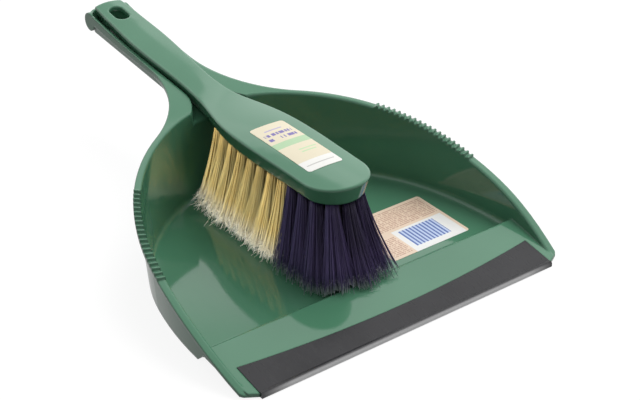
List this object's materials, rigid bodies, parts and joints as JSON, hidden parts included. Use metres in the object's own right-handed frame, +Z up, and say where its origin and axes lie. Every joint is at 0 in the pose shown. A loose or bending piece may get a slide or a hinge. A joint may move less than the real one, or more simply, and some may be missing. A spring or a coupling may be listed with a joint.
{
  "type": "dust pan and brush set",
  "caption": "Green plastic dust pan with a rubber lip, comb-toothed rim and channel handle, holding a soft two-tone hand brush whose handle nests in the pan's handle.",
  "frame": {"origin": "on the ground, under the middle of the set's length and width", "axes": "+X across the pan, +Y from the rubber lip to the end of the handle, +Z up"},
  "size_m": [0.232, 0.3314, 0.0795],
  "materials": {
    "green_plastic": "glossy moulded plastic, deep green",
    "black_rubber": "matt charcoal rubber",
    "pan_label_paper": "satin printed sticker, beige with a white panel",
    "brush_label_paper": "satin printed sticker, cream with a pale green band",
    "cream_bristle": "soft cream bristles",
    "dark_bristle": "soft violet-black bristles",
    "anchor_steel": "plain wire strip"
  },
  "bodies": {
    "pan": {"pan_shell": "green_plastic", "rubber_lip": "black_rubber", "pan_label": "pan_label_paper"},
    "brush": {"brush_block": "green_plastic", "brush_label": "brush_label_paper", "tuft_anchors": "anchor_steel", "cream_tuft_01": "cream_bristle", "cream_tuft_02": "cream_bristle", "cream_tuft_03": "cream_bristle", "cream_tuft_04": "cream_bristle", "cream_tuft_05": "cream_bristle", "cream_tuft_06": "cream_bristle", "cream_tuft_07": "cream_bristle", "cream_tuft_08": "cream_bristle", "cream_tuft_09": "cream_bristle", "cream_tuft_10": "cream_bristle", "cream_tuft_11": "cream_bristle", "cream_tuft_12": "cream_bristle", "cream_tuft_13": "cream_bristle", "cream_tuft_14": "cream_bristle", "cream_tuft_15": "cream_bristle", "cream_tuft_16": "cream_bristle", "cream_tuft_17": "cream_bristle", "cream_tuft_18": "cream_bristle", "cream_tuft_19": "cream_bristle", "cream_tuft_20": "cream_bristle", "cream_tuft_21": "cream_bristle", "cream_tuft_22": "cream_bristle", "cream_tuft_23": "cream_bristle", "cream_tuft_24": "cream_bristle", "cream_tuft_25": "cream_bristle", "cream_tuft_26": "cream_bristle", "cream_tuft_27": "cream_bristle", "cream_tuft_28": "cream_bristle", "cream_tuft_29": "cream_bristle", "cream_tuft_30": "cream_bristle", "cream_tuft_31": "cream_bristle", "cream_tuft_32": "cream_bristle", "dark_tuft_01": "dark_bristle", "dark_tuft_02": "dark_bristle", "dark_tuft_03": "dark_bristle", "dark_tuft_04": "dark_bristle", "dark_tuft_05": "dark_bristle", "dark_tuft_06": "dark_bristle", "dark_tuft_07": "dark_bristle", "dark_tuft_08": "dark_bristle", "dark_tuft_09": "dark_bristle", "dark_tuft_10": "dark_bristle", "dark_tuft_11": "dark_bristle", "dark_tuft_12": "dark_bristle", "dark_tuft_13": "dark_bristle"}
  },
  "joints": [
    {"name": "brush_lift", "type": "slide", "parent": "pan", "child": "brush", "axis": [0, 0, 1], "range_m": [0, 0.12]}
  ]
}
